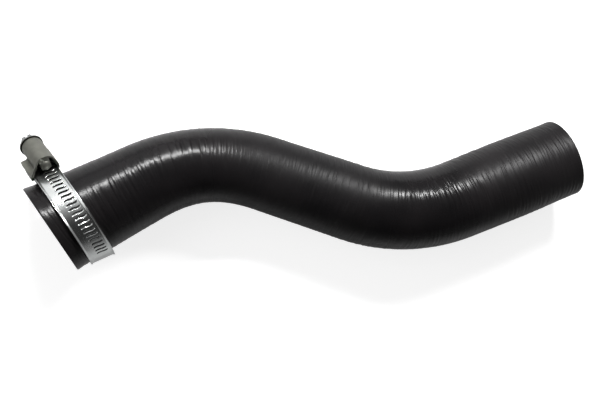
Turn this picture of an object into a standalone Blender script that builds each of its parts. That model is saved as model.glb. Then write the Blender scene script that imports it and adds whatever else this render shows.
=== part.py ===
# A moulded rubber charge air hose with two bends, and the worm-drive clamp on its inlet.
# Metres, +Z up. The hose lies on the floor at z = 0, and the floor's origin is under the middle
# of the model. The hose runs along +X, from the wide inlet to the outlet.
import math

import bmesh
import bpy
from mathutils import Matrix, Vector

MM = 0.001

# Centreline of the hose, seen from above: straights and arcs in turn
INLET_HEADING = math.radians(27.5)
INLET_STRAIGHT = 48.6 * MM
FIRST_BEND_RADIUS = 81.6 * MM
FIRST_BEND_ANGLE = math.radians(45.6)
MIDDLE_STRAIGHT = 46.5 * MM
SECOND_BEND_RADIUS = 86.3 * MM
SECOND_BEND_ANGLE = math.radians(39.0)
OUTLET_STRAIGHT = 63.9 * MM

# Bore and wall. The bore narrows behind the inlet, then swells slowly towards the outlet.
WALL = 4.25 * MM
INLET_BORE_RADIUS = 19.0 * MM
WAIST_BORE_RADIUS = 14.3 * MM
SWELL_BORE_RADIUS = 17.2 * MM
OUTLET_BORE_RADIUS = 16.7 * MM
TAPER_LENGTH = 113.0 * MM
TAPER_EASE = 1.8
SWELL_START = 26.0 * MM
SWELL_END = 266.0 * MM
OUTLET_CUFF = 35.0 * MM
BEND_PINCH = 0.9 * MM
END_ROUNDING = 0.6 * MM
CUT_LEAN = math.radians(5.7)
CUT_TILT = math.radians(6.7)
CUT_BLEND = 45.0 * MM
HOSE_SIDES = 36
HOSE_STEP = 7.0 * MM
LIFT_LENGTH = 76.0 * MM

# Clamp strip: a steel band with rolled-up edges and a pressed thread track
BAND_SETBACK = 6.9 * MM
BAND_WIDTH = 12.0 * MM
BAND_THICKNESS = 0.7 * MM
BAND_LIP = 0.5 * MM
BAND_LIP_WIDTH = 1.1 * MM
BAND_SEAT_GAP = 0.8 * MM
BAND_ROLL = math.radians(9.0)
STRIP_STEP = 2.45 * MM
TRACK_ACROSS = 1.25 * MM
TRACK_WIDTH = 5.2 * MM
THREAD_PITCH = 2.45 * MM
GROOVE_WIDTH = 1.05 * MM
GROOVE_DEPTH = 0.35 * MM
GROOVE_SLANT = math.radians(15.0)
GROOVE_CORNERS = 10
TRACK_END_ANGLE = math.radians(-60.0)
TRACK_MARGIN = 1.8 * MM

# The strip's loop: it leaves the hose, runs free to the housing and comes back under it
LEAVE_ANGLE = math.radians(30.0)
HOUSING_TILT = math.radians(43.0)
LEAD_IN_RADIUS = 66.0 * MM
RETURN_RADIUS = 12.0 * MM
SADDLE_LENGTH = 10.0 * MM
TAIL_LENGTH = 11.4 * MM
CLEARANCE = 0.3 * MM

# Worm screw
WORM_RADIUS = 4.0 * MM
WORM_ROOT_RADIUS = 3.3 * MM
WORM_START = 3.2 * MM
WORM_TURNS = 4.2
THREAD_CREST = 0.7 * MM
THREAD_BASE = 1.5 * MM
TURN_STEPS = 24
TIP_START = 2.4 * MM
TIP_CHAMFER = 0.8 * MM
JOURNAL_RADIUS = 3.9 * MM
JOURNAL_LENGTH = 2.2 * MM
COLLAR_RADIUS = 5.65 * MM
COLLAR_THICKNESS = 1.2 * MM
COLLAR_EDGE = 0.25 * MM
HEX_ACROSS_FLATS = 7.0 * MM
HEX_HEIGHT = 3.6 * MM
HEX_CHAMFER = 0.35 * MM
SLOT_WIDTH = 1.2 * MM
SLOT_DEPTH = 1.6 * MM

# Housing: one folded sheet, with a barrel over the worm and a skirt on the inlet side
SHEET = 0.85 * MM
SKIRT_LENGTH = 13.2 * MM
BARREL_LENGTH = 16.5 * MM
FLARE_LENGTH = 5.0 * MM
FLARE_STEPS = 8
MOUTH_RAKE = 1.5 * MM
NECK_INSET = 0.15 * MM
NECK_OVERLAP = 1.2 * MM
ARC_POINTS = 15
TONGUE_WIDTH = 4.8 * MM
TONGUE_SETBACK = 0.15 * MM
TONGUE_DROP = 2.2 * MM
NOSE_LENGTH = 1.5 * MM
NOSE_RADIUS = 2.7 * MM
NOSE_SEGMENTS = 14

UP = Vector((0.0, 0.0, 1.0))


# Scene and objects

def clear_scene():
    for obj in list(bpy.data.objects):
        bpy.data.objects.remove(obj, do_unlink=True)


def make_material(name, colour, roughness, metallic):
    material = bpy.data.materials.new(name)
    material.use_nodes = True
    shader = material.node_tree.nodes["Principled BSDF"]
    shader.inputs["Base Color"].default_value = (*colour, 1.0)
    shader.inputs["Roughness"].default_value = roughness
    shader.inputs["Metallic"].default_value = metallic
    return material


def make_object(name, bm, material=None, smooth_angle=35.0):
    bmesh.ops.recalc_face_normals(bm, faces=bm.faces)
    mesh = bpy.data.meshes.new(name)
    bm.to_mesh(mesh)
    bm.free()
    mesh.shade_smooth()
    mesh.set_sharp_from_angle(angle=math.radians(smooth_angle))
    if material:
        mesh.materials.append(material)
    obj = bpy.data.objects.new(name, mesh)
    bpy.context.scene.collection.objects.link(obj)
    return obj


def make_helper(name, bm, matrix=None):
    obj = make_object(name, bm)
    obj.hide_render = True
    obj.display_type = "WIRE"
    if matrix:
        obj.matrix_world = matrix
    return obj


def combine(target, helper, operation):
    modifier = target.modifiers.new(f"{operation.lower()} {helper.name}", "BOOLEAN")
    modifier.operation = operation
    modifier.solver = "EXACT"
    modifier.object = helper


def add_loop(bm, points):
    verts = [bm.verts.new(point) for point in points]
    return [bm.edges.new(pair) for pair in zip(verts, verts[1:] + verts[:1])]


def wrap_grid(rows):
    """A grid laid through closed rows of points. Its last row meets its first, so the skin is closed."""
    bm = bmesh.new()
    bmesh.ops.create_grid(bm, x_segments=len(rows), y_segments=len(rows[0]), size=0.5)
    for vert in bm.verts:
        row = rows[round((vert.co.x + 0.5) * len(rows)) % len(rows)]
        vert.co = row[round((vert.co.y + 0.5) * len(row)) % len(row)]
    bmesh.ops.remove_doubles(bm, verts=bm.verts, dist=1e-6)
    return bm


def turn_round(bm, profile, steps):
    """Turns a profile once round Z, as on a lathe."""
    bmesh.ops.spin(
        bm, geom=profile, cent=(0.0, 0.0, 0.0), axis=UP, angle=2 * math.pi,
        steps=steps, use_merge=True, use_duplicate=False,
    )
    bmesh.ops.remove_doubles(bm, verts=bm.verts, dist=1e-6)


# Hose

def hose_runs():
    """(length, curvature) of each stretch of the centreline. A left turn is positive."""
    return (
        (INLET_STRAIGHT, 0.0),
        (FIRST_BEND_RADIUS * FIRST_BEND_ANGLE, -1.0 / FIRST_BEND_RADIUS),
        (MIDDLE_STRAIGHT, 0.0),
        (SECOND_BEND_RADIUS * SECOND_BEND_ANGLE, 1.0 / SECOND_BEND_RADIUS),
        (OUTLET_STRAIGHT, 0.0),
    )


def hose_length():
    return sum(length for length, curvature in hose_runs())


def centreline(distance):
    """The point above the floor plan, and the heading, at this distance from the inlet."""
    x, y, heading = 0.0, 0.0, INLET_HEADING
    left = distance
    for length, curvature in hose_runs():
        step = min(left, length)
        left -= step
        if curvature:
            turned = heading + step * curvature
            x += (math.sin(turned) - math.sin(heading)) / curvature
            y -= (math.cos(turned) - math.cos(heading)) / curvature
            heading = turned
        else:
            x += step * math.cos(heading)
            y += step * math.sin(heading)
    return Vector((x, y, 0.0)), heading


def ease(value):
    value = min(max(value, 0.0), 1.0)
    return value * value * (3.0 - 2.0 * value)


def bore_radius(distance):
    length = hose_length()
    taper = (1.0 - min(distance / TAPER_LENGTH, 1.0)) ** TAPER_EASE
    swell = ease((distance - SWELL_START) / (SWELL_END - SWELL_START))
    cuff = ease((distance - length + OUTLET_CUFF) / OUTLET_CUFF)
    radius = WAIST_BORE_RADIUS + (INLET_BORE_RADIUS - WAIST_BORE_RADIUS) * taper
    radius += (SWELL_BORE_RADIUS - WAIST_BORE_RADIUS) * swell
    return radius + (OUTLET_BORE_RADIUS - SWELL_BORE_RADIUS) * cuff


def outer_radius(distance):
    return bore_radius(distance) + WALL


def lift(distance):
    """How far the inlet stands off the floor, so that the clamp below it also rests there."""
    def share(place):
        return max(0.0, 1.0 - place / LIFT_LENGTH) ** 2
    middle = BAND_SETBACK + BAND_WIDTH / 2
    clamp_reach = (band_radius() + BAND_THICKNESS / 2 + BAND_LIP) * math.cos(CUT_TILT)
    clamp_reach += BAND_WIDTH / 2 * math.sin(CUT_TILT)
    return (clamp_reach - outer_radius(middle)) * share(distance) / share(middle)


def pinch(distance):
    """The moulded bend is drawn in a little on its inner side, most at its middle."""
    bend_length = FIRST_BEND_RADIUS * FIRST_BEND_ANGLE
    place = (distance - INLET_STRAIGHT) / bend_length
    if not 0.0 < place < 1.0:
        return 0.0
    return BEND_PINCH * math.sin(math.pi * place) ** 2


def section_matrix(distance, radius):
    """Places a unit circle as the hose's section. Near the inlet the section leans with the cut."""
    plan, heading = centreline(distance)
    along = Vector((math.cos(heading), math.sin(heading), 0.0))
    side = Vector((-math.sin(heading), math.cos(heading), 0.0))
    squeeze = pinch(distance)
    centre = plan + UP * (outer_radius(distance) + lift(distance)) + side * (squeeze / 2)
    share = max(0.0, 1.0 - distance / CUT_BLEND)
    across = (side - along * math.tan(CUT_LEAN) * share) * (radius - squeeze / 2)
    rise = (UP + along * math.tan(CUT_TILT) * share) * radius
    return Matrix.Translation(centre) @ Matrix((across, rise, along)).transposed().to_4x4()


def rounded_mouth(distance, inwards):
    """(distance, radius) of the rings round one end: from the bore, over the cut face, to the outside."""
    rings = []
    for wall_side, angles in ((0.0, (0, 45, 90)), (1.0, (90, 45, 0))):
        for angle in angles:
            turn = math.radians(angle)
            depth = END_ROUNDING * (1.0 - math.sin(turn))
            offset = END_ROUNDING * (1.0 - math.cos(turn))
            place = distance + inwards * depth
            shift = offset if wall_side == 0.0 else WALL - offset
            rings.append((place, bore_radius(place) + shift))
    return rings


def build_hose(material):
    length = hose_length()
    count = round(length / HOSE_STEP)
    places = [length * step / count for step in range(1, count)]
    rings = rounded_mouth(0.0, 1.0)
    rings += [(place, outer_radius(place)) for place in places]
    rings += list(reversed(rounded_mouth(length, -1.0)))
    rings += [(place, bore_radius(place)) for place in reversed(places)]
    turns = [math.radians(360.0 / HOSE_SIDES * number) for number in range(HOSE_SIDES)]
    circle = [Vector((math.cos(turn), math.sin(turn), 0.0)) for turn in turns]
    rows = [[section_matrix(*ring) @ point for point in circle] for ring in rings]
    return make_object("hose_body", wrap_grid(rows), material)


# Clamp strip

def band_radius():
    """Radius of the middle of the strip's thickness, where it lies on the hose."""
    return outer_radius(BAND_SETBACK) + BAND_SEAT_GAP + BAND_THICKNESS / 2


def layer_pitch():
    """Distance from the strip's free end down to its fixed end, which lies under it."""
    return BAND_THICKNESS + BAND_LIP + CLEARANCE


def outward(angle):
    """Unit vector in the loop's plane, as (side, up). Angle 0 points up, 90 degrees to the side."""
    return Vector((math.sin(angle), math.cos(angle)))


def onward(angle):
    return Vector((-math.cos(angle), math.sin(angle)))


def mouth_place():
    """The strip's middle at the housing's mouth, in the loop's plane."""
    lead_centre = outward(LEAVE_ANGLE) * (band_radius() - LEAD_IN_RADIUS)
    return lead_centre + outward(HOUSING_TILT) * LEAD_IN_RADIUS


def loop_runs():
    """(length, radius) of each stretch of the strip, from its free end; radius 0 is straight."""
    radius = band_radius()
    saddle_end = mouth_place() - onward(HOUSING_TILT) * SADDLE_LENGTH
    saddle_end -= outward(HOUSING_TILT) * layer_pitch()
    bend_centre = saddle_end - outward(HOUSING_TILT) * RETURN_RADIUS
    bend_angle = math.atan2(bend_centre.x, bend_centre.y)
    touch = bend_angle + math.acos((radius - RETURN_RADIUS) / bend_centre.length)
    straight = bend_centre.length * math.sin(touch - bend_angle)
    return (
        (TAIL_LENGTH, 0.0),
        (LEAD_IN_RADIUS * (HOUSING_TILT - LEAVE_ANGLE), LEAD_IN_RADIUS),
        (radius * (LEAVE_ANGLE + 2 * math.pi - touch), radius),
        (straight, 0.0),
        (RETURN_RADIUS * (touch - HOUSING_TILT), RETURN_RADIUS),
        (SADDLE_LENGTH - CLEARANCE, 0.0),
    )


def loop_length():
    return sum(length for length, radius in loop_runs())


def loop_place(distance):
    """The strip's middle in the loop's plane and its tilt, at this distance from the free end."""
    tilt = HOUSING_TILT
    place = mouth_place() - onward(tilt) * TAIL_LENGTH
    left = distance
    for length, radius in loop_runs():
        step = min(left, length)
        left -= step
        if radius:
            turned = tilt - step / radius
            place = place + (outward(turned) - outward(tilt)) * radius
            tilt = turned
        else:
            place = place + onward(tilt) * step
    return place, tilt


def clamp_axes():
    """Centre of the clamp on the hose's centreline, and its axes: along the hose, sideways and up.

    The clamp lies parallel to the hose's cut end, so it leans as the cut does.
    """
    middle = BAND_SETBACK + BAND_WIDTH / 2
    plan, heading = centreline(middle)
    centre = plan + UP * (outer_radius(middle) + lift(middle))
    turned = heading + CUT_LEAN
    side = Vector((-math.sin(turned), math.cos(turned), 0.0))
    level = Vector((math.cos(turned), math.sin(turned), 0.0))
    axis = level * math.cos(CUT_TILT) - UP * math.sin(CUT_TILT)
    return centre, axis, side, axis.cross(side)


def strip_matrix(place, tilt):
    """Frame on the strip: X onwards along it, Y across it away from the inlet, Z out of the loop."""
    centre, axis, side, rise = clamp_axes()
    out = side * outward(tilt).x + rise * outward(tilt).y
    roll = BAND_ROLL * math.sin(tilt)
    across = axis * math.cos(roll) - out * math.sin(roll)
    height = out * math.cos(roll) + axis * math.sin(roll)
    forward = across.cross(height)
    point = centre + side * place.x + rise * place.y
    return Matrix.Translation(point) @ Matrix((forward, across, height)).transposed().to_4x4()


def strip_section():
    """The strip's section, as (across, height), with both edges rolled up."""
    half = BAND_WIDTH / 2
    bottom = -BAND_THICKNESS / 2
    under = [
        (half - BAND_LIP_WIDTH, bottom),
        (half - BAND_LIP_WIDTH * 0.45, bottom + BAND_LIP * 0.2),
        (half, bottom + BAND_LIP * 0.8),
    ]
    over = [
        (half, bottom + BAND_THICKNESS + BAND_LIP),
        (half - BAND_LIP_WIDTH * 0.45, bottom + BAND_THICKNESS + BAND_LIP * 0.75),
        (half - BAND_LIP_WIDTH, bottom + BAND_THICKNESS),
    ]
    right = under + over
    return right + [(-across, height) for across, height in reversed(right)]


def build_flat_strip():
    """The strip before it is rolled: X along it from the free end, Y across, Z through its thickness."""
    bm = bmesh.new()
    start = add_loop(bm, [Vector((0.0, across, height)) for across, height in strip_section()])
    length = loop_length()
    count = round(length / STRIP_STEP)
    edges = start
    for _ in range(count):
        grown = bmesh.ops.extrude_edge_only(bm, edges=edges)["geom"]
        verts = [item for item in grown if isinstance(item, bmesh.types.BMVert)]
        bmesh.ops.translate(bm, vec=Vector((length / count, 0.0, 0.0)), verts=verts)
        edges = [item for item in grown if isinstance(item, bmesh.types.BMEdge)]
        edges = [edge for edge in edges if set(edge.verts) <= set(verts)]
    for end in (start, edges):
        bmesh.ops.contextual_create(bm, geom=end)
    return bm


def groove_places():
    """Where the pressed grooves lie along the strip."""
    runs = loop_runs()
    first_lengths = runs[0][0] + runs[1][0]
    end = first_lengths + band_radius() * (LEAVE_ANGLE - TRACK_END_ANGLE)
    count = int((end - TRACK_MARGIN) / THREAD_PITCH)
    return [TRACK_MARGIN + THREAD_PITCH * number for number in range(count + 1)]


def add_groove_cutter(bm, along):
    """One slanted round-ended bar, sunk into the strip's outer face by the groove's depth."""
    top = BAND_THICKNESS / 2 - GROOVE_DEPTH
    turn = Matrix.Rotation(-GROOVE_SLANT, 4, "Z")
    place = Matrix.Translation((along, TRACK_ACROSS, top)) @ turn
    ring = bmesh.ops.create_circle(bm, cap_ends=True, segments=GROOVE_CORNERS, radius=GROOVE_WIDTH / 2)
    straight = (TRACK_WIDTH - GROOVE_WIDTH) / 2
    for vert in ring["verts"]:
        vert.co.y += straight if vert.co.y > 0 else -straight
    face = ring["verts"][0].link_faces[0]
    grown = bmesh.ops.extrude_face_region(bm, geom=[face])["geom"]
    lifted = [item for item in grown if isinstance(item, bmesh.types.BMVert)]
    bmesh.ops.translate(bm, vec=Vector((0.0, 0.0, 2 * GROOVE_DEPTH)), verts=lifted)
    bmesh.ops.transform(bm, matrix=place, verts=ring["verts"] + lifted)


def build_grooves():
    bm = bmesh.new()
    for along in groove_places():
        add_groove_cutter(bm, along)
    return make_helper("groove_cutter", bm)


def build_band(material):
    """Presses the track into the flat strip, then rolls the strip round its loop."""
    flat = make_object("flat_strip", build_flat_strip())
    cutter = build_grooves()
    combine(flat, cutter, "DIFFERENCE")
    graph = bpy.context.evaluated_depsgraph_get()
    pressed = bpy.data.meshes.new_from_object(flat.evaluated_get(graph))
    bm = bmesh.new()
    bm.from_mesh(pressed)
    for vert in bm.verts:
        along, across, height = vert.co
        vert.co = strip_matrix(*loop_place(along)) @ Vector((0.0, across, height))
    for helper in (flat, cutter):
        bpy.data.objects.remove(helper, do_unlink=True)
    bpy.data.meshes.remove(pressed)
    return make_object("clamp_band", bm, material, smooth_angle=25.0)


# Clamp housing and screw, in the frame of the strip at the housing's mouth.
# X points out of the mouth, so a depth into the housing is negative X.

def mouth_matrix():
    return strip_matrix(mouth_place(), HOUSING_TILT)


def worm_height():
    return BAND_THICKNESS / 2 + CLEARANCE + WORM_RADIUS


def barrel_inner_radius():
    return WORM_RADIUS + CLEARANCE


def arch(half_width, shoulder, radius, foot, flare):
    """The housing's section: foot, shoulder, the barrel's arc and down again, as (across, height).

    Without flare the shoulders are level, and with full flare they rise straight to the barrel.
    """
    def barrel_angle(side):
        corner = Vector((side * half_width - TRACK_ACROSS, shoulder - worm_height()))
        level = math.asin(corner.y / radius)
        steep = math.atan2(corner.y, side * corner.x) + math.acos(radius / corner.length)
        return level + (steep - level) * flare

    left = math.pi - barrel_angle(-1.0)
    right = barrel_angle(1.0)
    points = [(-half_width, foot), (-half_width, shoulder)]
    for number in range(ARC_POINTS):
        angle = left + (right - left) * number / (ARC_POINTS - 1)
        across = TRACK_ACROSS + radius * math.cos(angle)
        points.append((across, worm_height() + radius * math.sin(angle)))
    return points + [(half_width, shoulder), (half_width, foot)]


def housing_rows(half_width, shoulder, radius, foot):
    """Sections of one skin of the housing, from its mouth to the end of its skirt."""
    stations = []
    for step in range(FLARE_STEPS + 1):
        share = step / FLARE_STEPS
        stations.append((FLARE_LENGTH * share, (1.0 - share) ** 2))
    stations.append((SKIRT_LENGTH, 0.0))
    rows = []
    for depth, flare in stations:
        row = []
        for across, height in arch(half_width, shoulder, radius, foot, flare):
            rake = MOUTH_RAKE if depth == 0.0 and height == foot else 0.0
            row.append(Vector((-depth - rake, across, height)))
        rows.append(row)
    return rows


def build_shell():
    strip_half = BAND_WIDTH / 2
    strip_top = BAND_THICKNESS / 2 + BAND_LIP + CLEARANCE
    strip_bottom = -BAND_THICKNESS / 2 - layer_pitch() - CLEARANCE
    inner_half = strip_half + CLEARANCE
    inner_radius = barrel_inner_radius()
    inner = housing_rows(inner_half, strip_top, inner_radius, strip_bottom)
    outer = housing_rows(inner_half + SHEET, strip_top + SHEET, inner_radius + SHEET, strip_bottom - SHEET)
    return wrap_grid(outer + inner[::-1])


def axle_matrix(depth):
    """Frame on the worm's axis at this depth: Z runs along it towards the screw's head."""
    place = Matrix.Translation((-depth, TRACK_ACROSS, worm_height()))
    return mouth_matrix() @ place @ Matrix.Rotation(-math.pi / 2, 4, "Y")


def build_neck():
    """The ring that carries the barrel on past the skirt, up to the screw's collar."""
    start = SKIRT_LENGTH - NECK_OVERLAP
    inner = barrel_inner_radius() + NECK_INSET
    outer = barrel_inner_radius() + SHEET - NECK_INSET
    corners = ((outer, start), (outer, BARREL_LENGTH), (inner, BARREL_LENGTH), (inner, start))
    bm = bmesh.new()
    edges = add_loop(bm, [Vector((radius, 0.0, depth)) for radius, depth in corners])
    turn_round(bm, bm.verts[:] + edges, 2 * ARC_POINTS)
    return make_helper("housing_neck", bm, axle_matrix(0.0))


def build_tongue():
    """The tab bent down at the mouth, in front of the screw's tip."""
    top = barrel_inner_radius() + SHEET / 8
    bm = bmesh.new()
    cube = bmesh.ops.create_cube(bm, size=1.0)
    middle = Vector((-TONGUE_SETBACK - SHEET / 2, TRACK_ACROSS, worm_height() + (top - TONGUE_DROP) / 2))
    size = Matrix.Diagonal((SHEET, TONGUE_WIDTH, top + TONGUE_DROP, 1.0))
    bmesh.ops.transform(bm, matrix=Matrix.Translation(middle) @ size, verts=cube["verts"])
    return make_helper("housing_tongue", bm, mouth_matrix())


def build_nose():
    """The rounded boss pressed out of the tongue."""
    bm = bmesh.new()
    size = Matrix.Diagonal((NOSE_LENGTH, TONGUE_WIDTH / 2, NOSE_RADIUS, 1.0))
    middle = Matrix.Translation((-TONGUE_SETBACK - SHEET / 2, TRACK_ACROSS, worm_height() - CLEARANCE))
    bmesh.ops.create_uvsphere(
        bm, u_segments=NOSE_SEGMENTS, v_segments=NOSE_SEGMENTS // 2, radius=1.0, matrix=middle @ size
    )
    return make_helper("housing_nose", bm, mouth_matrix())


def build_saddle_opening():
    """Clears the floor and the lower sides behind the saddle, where the strip bends away."""
    height = layer_pitch() + BAND_THICKNESS + 2 * SHEET
    top = -BAND_THICKNESS / 2 - CLEARANCE
    width = BAND_WIDTH + 4 * SHEET
    bm = bmesh.new()
    cube = bmesh.ops.create_cube(bm, size=1.0)
    middle = Vector((-SADDLE_LENGTH - SKIRT_LENGTH / 2, 0.0, top - height / 2))
    size = Matrix.Diagonal((SKIRT_LENGTH, width, height, 1.0))
    bmesh.ops.transform(bm, matrix=Matrix.Translation(middle) @ size, verts=cube["verts"])
    return make_helper("saddle_opening", bm, mouth_matrix())


def build_housing(material):
    housing = make_object("clamp_housing", build_shell(), material)
    housing.matrix_world = mouth_matrix()
    combine(housing, build_saddle_opening(), "DIFFERENCE")
    combine(housing, build_neck(), "UNION")
    combine(housing, build_tongue(), "UNION")
    combine(housing, build_nose(), "UNION")
    return housing


def screw_profile():
    """(radius, depth) of the turned part, from the tip to the top of the collar."""
    worm_end = BARREL_LENGTH - JOURNAL_LENGTH
    collar_start = BARREL_LENGTH + CLEARANCE
    collar_end = collar_start + COLLAR_THICKNESS
    return (
        (0.0, TIP_START),
        (WORM_ROOT_RADIUS - TIP_CHAMFER, TIP_START),
        (WORM_ROOT_RADIUS, TIP_START + TIP_CHAMFER),
        (WORM_ROOT_RADIUS, worm_end),
        (JOURNAL_RADIUS, worm_end + JOURNAL_RADIUS - WORM_ROOT_RADIUS),
        (JOURNAL_RADIUS, collar_start),
        (COLLAR_RADIUS - COLLAR_EDGE, collar_start),
        (COLLAR_RADIUS, collar_start + COLLAR_EDGE),
        (COLLAR_RADIUS, collar_end - COLLAR_EDGE),
        (COLLAR_RADIUS - COLLAR_EDGE, collar_end),
        (0.0, collar_end),
    )


def build_screw_blank():
    bm = bmesh.new()
    points = [Vector((radius, 0.0, depth - BARREL_LENGTH)) for radius, depth in screw_profile()]
    verts = [bm.verts.new(point) for point in points]
    edges = [bm.edges.new(pair) for pair in zip(verts, verts[1:])]
    turn_round(bm, verts + edges, TURN_STEPS)
    return bm


def build_worm_thread():
    """A right-handed trapezium thread, swept round the axis and sunk into the screw's root."""
    root = WORM_ROOT_RADIUS - (WORM_RADIUS - WORM_ROOT_RADIUS) / 2
    start = WORM_START - BARREL_LENGTH
    corners = (
        (root, -THREAD_BASE / 2),
        (WORM_RADIUS, -THREAD_CREST / 2),
        (WORM_RADIUS, THREAD_CREST / 2),
        (root, THREAD_BASE / 2),
    )
    bm = bmesh.new()
    verts = [bm.verts.new((radius, 0.0, start + THREAD_BASE / 2 + rise)) for radius, rise in corners]
    face = bm.faces.new(verts)
    steps = round(WORM_TURNS * TURN_STEPS)
    bmesh.ops.spin(
        bm, geom=[face], cent=(0.0, 0.0, 0.0), axis=UP,
        dvec=(0.0, 0.0, THREAD_PITCH / TURN_STEPS), angle=2 * math.pi * steps / TURN_STEPS,
        steps=steps, use_merge=False, use_duplicate=False,
    )
    return make_helper("worm_thread", bm, axle_matrix(BARREL_LENGTH))


def build_hex():
    """The hexagon on the collar, with its top corners taken off."""
    base = CLEARANCE + COLLAR_THICKNESS / 2
    top = CLEARANCE + COLLAR_THICKNESS + HEX_HEIGHT
    corner_radius = HEX_ACROSS_FLATS / 2 / math.cos(math.pi / 6)
    bm = bmesh.new()
    bmesh.ops.create_cone(
        bm, cap_ends=True, segments=6, radius1=corner_radius, radius2=corner_radius,
        depth=top - base, matrix=Matrix.Translation((0.0, 0.0, (base + top) / 2)),
    )
    rim = [edge for edge in bm.edges if all(vert.co.z > (base + top) / 2 for vert in edge.verts)]
    bmesh.ops.bevel(
        bm, geom=rim, offset=HEX_CHAMFER, offset_type="OFFSET", affect="EDGES",
        segments=1, profile=0.5, material=-1,
    )
    return make_helper("screw_hexagon", bm, axle_matrix(BARREL_LENGTH))


def build_slot():
    """The screwdriver slot across the hexagon's top."""
    top = CLEARANCE + COLLAR_THICKNESS + HEX_HEIGHT
    bm = bmesh.new()
    cube = bmesh.ops.create_cube(bm, size=1.0)
    size = Matrix.Diagonal((2 * HEX_ACROSS_FLATS, SLOT_WIDTH, 2 * SLOT_DEPTH, 1.0))
    bmesh.ops.transform(bm, matrix=Matrix.Translation((0.0, 0.0, top)) @ size, verts=cube["verts"])
    return make_helper("screw_slot", bm, axle_matrix(BARREL_LENGTH))


def build_screw(material):
    screw = make_object("clamp_screw", build_screw_blank(), material)
    screw.matrix_world = axle_matrix(BARREL_LENGTH)
    combine(screw, build_worm_thread(), "UNION")
    combine(screw, build_hex(), "UNION")
    combine(screw, build_slot(), "DIFFERENCE")
    return screw


# Placing

def world_corners(objects):
    graph = bpy.context.evaluated_depsgraph_get()
    for obj in objects:
        shown = obj.evaluated_get(graph)
        for vert in shown.data.vertices:
            yield obj.matrix_world @ vert.co


def stand_on_floor(pieces):
    """Moves the model so that the middle of its box lies over the origin, with the floor at z = 0."""
    bpy.context.view_layer.update()
    corners = list(world_corners(pieces))
    low = Vector([min(corner[axis] for corner in corners) for axis in range(3)])
    high = Vector([max(corner[axis] for corner in corners) for axis in range(3)])
    middle = (low + high) / 2
    shift = Matrix.Translation((-middle.x, -middle.y, -low.z))
    for obj in bpy.data.objects:
        obj.matrix_world = shift @ obj.matrix_world


def main():
    clear_scene()
    rubber = make_material("rubber hose, black", (0.022, 0.022, 0.024), 0.45, 0.0)
    zinc = make_material("zinc-plated strip steel", (0.62, 0.63, 0.64), 0.28, 1.0)
    housing_steel = make_material("dull coated steel", (0.15, 0.147, 0.13), 0.5, 0.8)
    screw_steel = make_material("zinc-plated screw steel", (0.42, 0.42, 0.42), 0.35, 1.0)
    pieces = [
        build_hose(rubber),
        build_band(zinc),
        build_housing(housing_steel),
        build_screw(screw_steel),
    ]
    stand_on_floor(pieces)


main()
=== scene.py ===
import math

import bmesh
import bpy
from mathutils import Matrix, Vector, noise


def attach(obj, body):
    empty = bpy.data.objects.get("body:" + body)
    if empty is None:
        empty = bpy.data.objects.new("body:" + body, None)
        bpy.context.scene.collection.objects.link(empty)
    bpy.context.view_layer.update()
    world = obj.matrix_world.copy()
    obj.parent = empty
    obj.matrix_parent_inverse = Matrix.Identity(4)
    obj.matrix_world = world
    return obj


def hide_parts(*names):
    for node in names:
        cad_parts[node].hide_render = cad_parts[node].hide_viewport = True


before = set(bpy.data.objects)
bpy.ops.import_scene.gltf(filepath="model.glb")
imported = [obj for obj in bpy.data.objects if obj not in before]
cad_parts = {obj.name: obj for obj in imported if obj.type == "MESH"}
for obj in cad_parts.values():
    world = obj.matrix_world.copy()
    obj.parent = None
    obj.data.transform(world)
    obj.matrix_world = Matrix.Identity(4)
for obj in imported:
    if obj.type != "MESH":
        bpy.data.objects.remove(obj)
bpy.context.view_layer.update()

# Charge air hose: a moulded rubber duct with two bends, and a worm-drive clamp on its wide end.
# Sizes in the dictionaries are in millimetres and angles in degrees, unless a note says otherwise.
mm = 0.001
tiny = 1e-6    # metres, points closer than this are one point
up = Vector((0.0, 0.0, 1.0))


def ease(value):
    value = min(max(value, 0.0), 1.0)
    return value * value * (3.0 - 2.0 * value)


def basis(origin, x, y, z):
    return Matrix.Translation(origin) @ Matrix((x, y, z)).transposed().to_4x4()


def linkedObject(name, bm):
    mesh = bpy.data.meshes.new(name)
    bm.to_mesh(mesh)
    bm.free()
    obj = bpy.data.objects.new(name, mesh)
    bpy.context.scene.collection.objects.link(obj)
    return obj


def newPiece(name, bm, body, node, smoothAngle):
    # the bmesh is already in the shared frame, so the object stays at the origin
    piece = linkedObject(name, bm)
    piece.data.shade_smooth()
    piece.data.set_sharp_from_angle(angle=math.radians(smoothAngle))
    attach(piece, body)
    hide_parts(node)
    print(name, "made with", len(piece.data.polygons), "faces")
    return piece


def closeSeams(bm):
    bmesh.ops.remove_doubles(bm, verts=bm.verts, dist=tiny)
    bmesh.ops.recalc_face_normals(bm, faces=bm.faces)


def turned(profile, steps, closed=False):
    # a lathe part round Z from (radius, height) points
    bm = bmesh.new()
    verts = [bm.verts.new((radius * mm, 0.0, height * mm)) for radius, height in profile]
    onwards = verts[1:] + verts[:1] if closed else verts[1:]
    edges = [bm.edges.new(pair) for pair in zip(verts, onwards)]
    bmesh.ops.spin(bm, geom=verts + edges, cent=(0, 0, 0), axis=up, angle=2 * math.pi,
                   steps=steps, use_merge=True, use_duplicate=False)
    closeSeams(bm)
    return bm


def bevelSharp(bm, width, segments, angle=30.0):
    # breaks every edge that is sharper than this angle
    edges = [e for e in bm.edges if e.is_manifold and e.calc_face_angle() > math.radians(angle)]
    bmesh.ops.bevel(bm, geom=edges, offset=width * mm, offset_type="OFFSET", affect="EDGES",
                    segments=segments, profile=0.5, material=-1, clamp_overlap=True)


def breakEdges(piece, width):
    bevel = piece.modifiers.new("broken edges", "BEVEL")
    bevel.width = width * mm
    bevel.segments = 2
    bevel.limit_method = "ANGLE"
    bevel.angle_limit = math.radians(50.0)


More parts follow.
